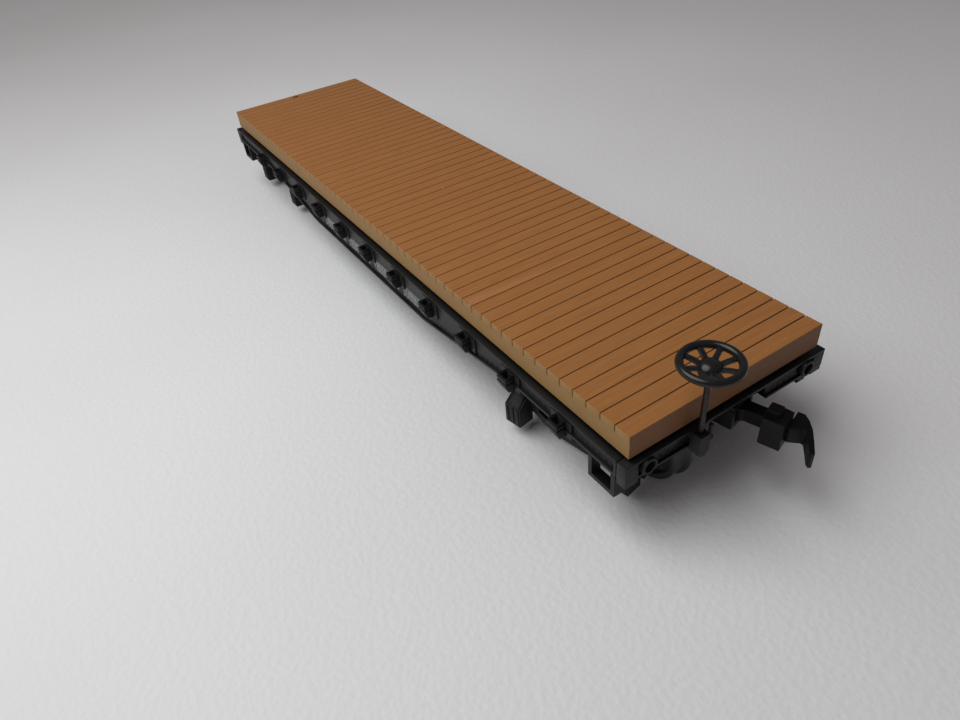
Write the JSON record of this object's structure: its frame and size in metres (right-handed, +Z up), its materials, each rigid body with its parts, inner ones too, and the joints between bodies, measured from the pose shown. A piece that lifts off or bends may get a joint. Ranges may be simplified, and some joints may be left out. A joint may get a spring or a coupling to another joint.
{
  "type": "model railway flat car",
  "caption": "Model railway flat car: brown plank deck on a black fishbelly frame with stake pockets, swivelling trucks, horn couplers and a brake wheel.",
  "frame": {"origin": "on the surface that the wheels stand on, midway between the two coupler tips and on the centre line across the car", "axes": "+X toward the brake-wheel end along the deck, +Y across the car, +Z up"},
  "size_m": [0.1644, 0.038, 0.0249],
  "materials": {
    "deck_brown_plastic": "moulded in brown with a fine grain, satin",
    "frame_black_plastic": "moulded in black, satin",
    "truck_black_plastic": "moulded in black, satin",
    "wheel_black_plastic": "moulded in black, polished on the tread",
    "weight_steel": "plain cut strip",
    "axle_steel": "turned and pointed",
    "spring_bronze": "bent strip",
    "brake_black_plastic": "moulded in black, glossy",
    "brake_staff_metal": "dull drawn wire"
  },
  "bodies": {
    "car_body": {"deck": "deck_brown_plastic", "weight": "weight_steel", "underframe": "frame_black_plastic", "side_sill_left": "frame_black_plastic", "side_sill_right": "frame_black_plastic", "end_sill_near": "frame_black_plastic", "end_sill_far": "frame_black_plastic", "stirrup_near_left": "frame_black_plastic", "stirrup_near_right": "frame_black_plastic", "stirrup_far_left": "frame_black_plastic", "stirrup_far_right": "frame_black_plastic", "brake_bracket": "frame_black_plastic", "air_pipe": "frame_black_plastic", "kingpin_near": "axle_steel", "kingpin_far": "axle_steel"},
    "truck_near": {"truck_frame_near": "truck_black_plastic", "coupler_cover_near": "truck_black_plastic", "coupler_spring_near": "spring_bronze"},
    "truck_far": {"truck_frame_far": "truck_black_plastic", "coupler_cover_far": "truck_black_plastic", "coupler_spring_far": "spring_bronze"},
    "coupler_near_body": {"coupler_near": "truck_black_plastic"},
    "coupler_far_body": {"coupler_far": "truck_black_plastic"},
    "wheelset_near_outer": {"axle_near_outer": "axle_steel", "wheel_near_outer_left": "wheel_black_plastic", "wheel_near_outer_right": "wheel_black_plastic"},
    "wheelset_near_inner": {"axle_near_inner": "axle_steel", "wheel_near_inner_left": "wheel_black_plastic", "wheel_near_inner_right": "wheel_black_plastic"},
    "wheelset_far_outer": {"axle_far_outer": "axle_steel", "wheel_far_outer_left": "wheel_black_plastic", "wheel_far_outer_right": "wheel_black_plastic"},
    "wheelset_far_inner": {"axle_far_inner": "axle_steel", "wheel_far_inner_left": "wheel_black_plastic", "wheel_far_inner_right": "wheel_black_plastic"},
    "hand_brake": {"brake_staff": "brake_staff_metal", "brake_wheel": "brake_black_plastic"}
  },
  "joints": [
    {"name": "truck_near_swivel", "type": "hinge", "parent": "car_body", "child": "truck_near", "pos_m": [0.05445, 0, 0.0102], "axis": [0, 0, 1], "range_deg": [-18, 1]},
    {"name": "truck_far_swivel", "type": "hinge", "parent": "car_body", "child": "truck_far", "pos_m": [-0.05475, 0, 0.0102], "axis": [0, 0, 1], "range_deg": [-10, 10]},
    {"name": "coupler_near_swing", "type": "hinge", "parent": "truck_near", "child": "coupler_near_body", "pos_m": [0.07065, 0.00315, 0.0103], "axis": [0, 0, 1], "range_deg": [-15, 3]},
    {"name": "coupler_far_swing", "type": "hinge", "parent": "truck_far", "child": "coupler_far_body", "pos_m": [-0.07125, 0, 0.0103], "axis": [0, 0, 1], "range_deg": [-9, 9]},
    {"name": "wheelset_near_outer_spin", "type": "hinge", "parent": "truck_near", "child": "wheelset_near_outer", "pos_m": [0.06392, 0.00184, 0.0055], "axis": [-0.1908, 0.9816, 0], "continuous": true},
    {"name": "wheelset_near_inner_spin", "type": "hinge", "parent": "truck_near", "child": "wheelset_near_inner", "pos_m": [0.04498, -0.00184, 0.0055], "axis": [-0.1908, 0.9816, 0], "continuous": true},
    {"name": "wheelset_far_outer_spin", "type": "hinge", "parent": "truck_far", "child": "wheelset_far_outer", "pos_m": [-0.0644, 0, 0.0055], "axis": [0, 1, 0], "continuous": true},
    {"name": "wheelset_far_inner_spin", "type": "hinge", "parent": "truck_far", "child": "wheelset_far_inner", "pos_m": [-0.0451, 0, 0.0055], "axis": [0, 1, 0], "continuous": true},
    {"name": "hand_brake_turn", "type": "hinge", "parent": "car_body", "child": "hand_brake", "pos_m": [0.073, -0.00655, 0.0236], "axis": [0, 0, 1], "continuous": true}
  ]
}
